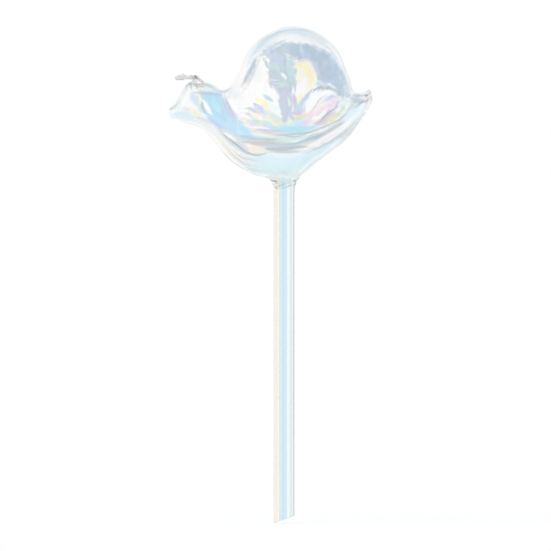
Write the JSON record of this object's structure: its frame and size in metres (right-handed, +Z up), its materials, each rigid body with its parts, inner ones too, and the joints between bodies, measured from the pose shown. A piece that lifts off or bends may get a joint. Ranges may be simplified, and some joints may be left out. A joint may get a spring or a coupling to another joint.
{
  "type": "watering globe",
  "caption": "Hollow glass snail on a long open-ended drip stem: filled with water, turned over and pushed into a pot, it feeds the soil slowly.",
  "frame": {"origin": "on the stem's axis, level with the lowest point of its slanted tip", "axes": "+Z up the stem to the snail, -X the way the snail looks, +X its tail, Y across the snail"},
  "size_m": [0.0976, 0.057, 0.2367],
  "materials": {
    "film_glass": "gloss, iridescent film",
    "clear_glass": "gloss"
  },
  "bodies": {
    "root": {"stem_tube": "film_glass", "neck_collar": "clear_glass", "snail_body": "film_glass", "shell_dome": "film_glass", "snout_nib": "clear_glass", "tail_nib": "clear_glass", "left_feeler": "clear_glass", "right_feeler": "clear_glass"}
  },
  "joints": []
}
